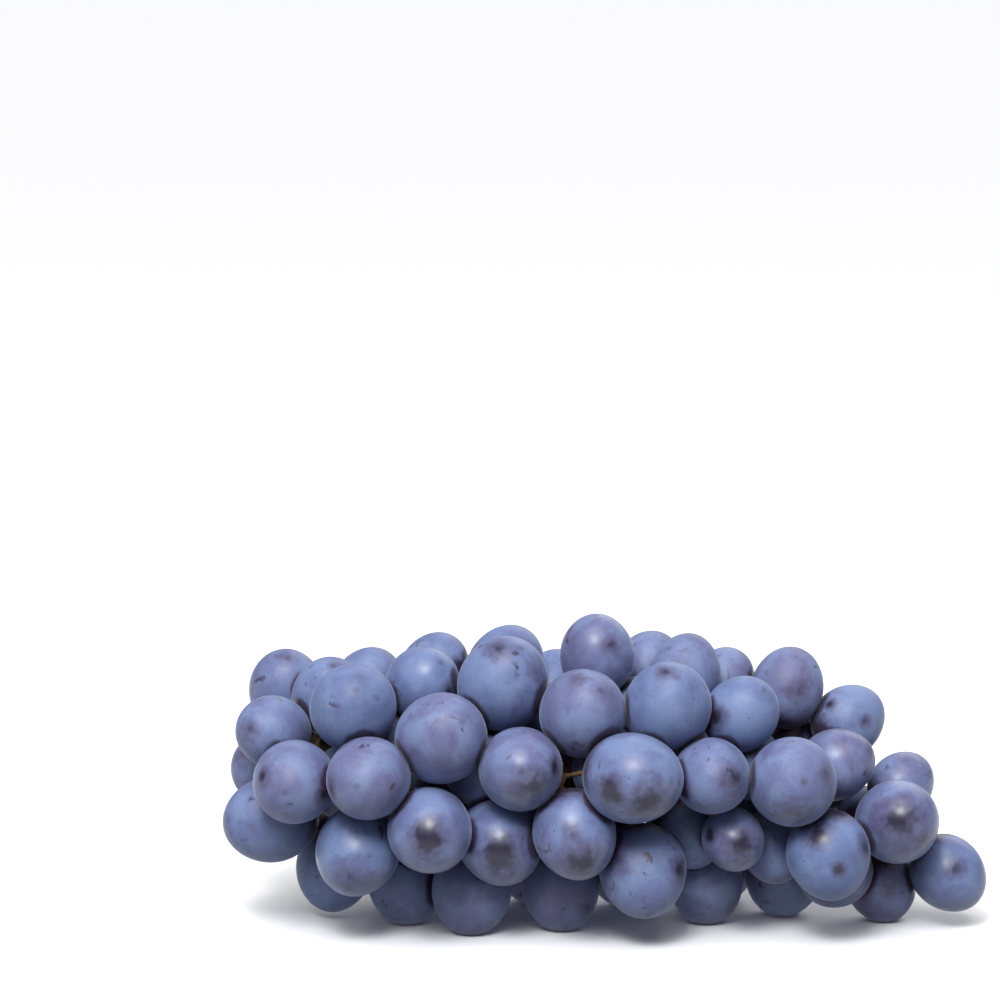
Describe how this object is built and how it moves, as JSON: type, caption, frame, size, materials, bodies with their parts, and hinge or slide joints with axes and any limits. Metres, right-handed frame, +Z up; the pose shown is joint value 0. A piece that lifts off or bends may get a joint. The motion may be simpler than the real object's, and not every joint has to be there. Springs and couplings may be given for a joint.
{
  "type": "bunch of grapes",
  "caption": "Bunch of blue table grapes with a waxy bloom, lying on its side: broad at the shoulder, narrow at the tip, each berry on its own stalk.",
  "frame": {"origin": "on the surface, under the middle of the bunch's outline", "axes": "+X from the shoulder to the tip of the bunch, +Z up, +Y away from the side that is seen first"},
  "size_m": [0.1718, 0.077, 0.0719],
  "materials": {
    "grape_skin": "dark blue-purple skin under a pale waxy bloom, rubbed off in patches",
    "grape_stalk": "tan to brown bark, green on the pedicels, knobbly at the joints"
  },
  "bodies": {
    "root": {"stem": "grape_stalk", "crest_berry_01": "grape_skin", "crest_berry_02": "grape_skin", "crest_berry_03": "grape_skin", "crest_berry_04": "grape_skin", "crest_berry_05": "grape_skin", "crest_berry_06": "grape_skin", "crest_berry_07": "grape_skin", "crest_berry_08": "grape_skin", "crest_berry_09": "grape_skin", "crest_berry_10": "grape_skin", "crest_berry_11": "grape_skin", "crest_berry_12": "grape_skin", "crest_berry_13": "grape_skin", "crest_berry_14": "grape_skin", "crest_berry_15": "grape_skin", "crest_berry_16": "grape_skin", "crest_berry_17": "grape_skin", "crest_berry_18": "grape_skin", "cheek_berry_01": "grape_skin", "cheek_berry_02": "grape_skin", "cheek_berry_03": "grape_skin", "cheek_berry_04": "grape_skin", "cheek_berry_05": "grape_skin", "cheek_berry_06": "grape_skin", "cheek_berry_07": "grape_skin", "cheek_berry_08": "grape_skin", "cheek_berry_09": "grape_skin", "cheek_berry_10": "grape_skin", "cheek_berry_11": "grape_skin", "belly_berry_01": "grape_skin", "belly_berry_02": "grape_skin", "belly_berry_03": "grape_skin", "belly_berry_04": "grape_skin", "belly_berry_05": "grape_skin", "belly_berry_06": "grape_skin", "belly_berry_07": "grape_skin", "belly_berry_08": "grape_skin", "belly_berry_09": "grape_skin", "belly_berry_10": "grape_skin", "belly_berry_11": "grape_skin", "belly_berry_12": "grape_skin", "belly_berry_13": "grape_skin", "floor_berry_01": "grape_skin", "floor_berry_02": "grape_skin", "floor_berry_03": "grape_skin", "floor_berry_04": "grape_skin", "floor_berry_05": "grape_skin", "floor_berry_06": "grape_skin", "back_berry_01": "grape_skin", "back_berry_02": "grape_skin", "back_berry_03": "grape_skin", "back_berry_04": "grape_skin", "back_berry_05": "grape_skin", "back_berry_06": "grape_skin", "back_berry_07": "grape_skin", "back_berry_08": "grape_skin", "back_berry_09": "grape_skin", "back_berry_10": "grape_skin", "back_berry_11": "grape_skin"}
  },
  "joints": []
}
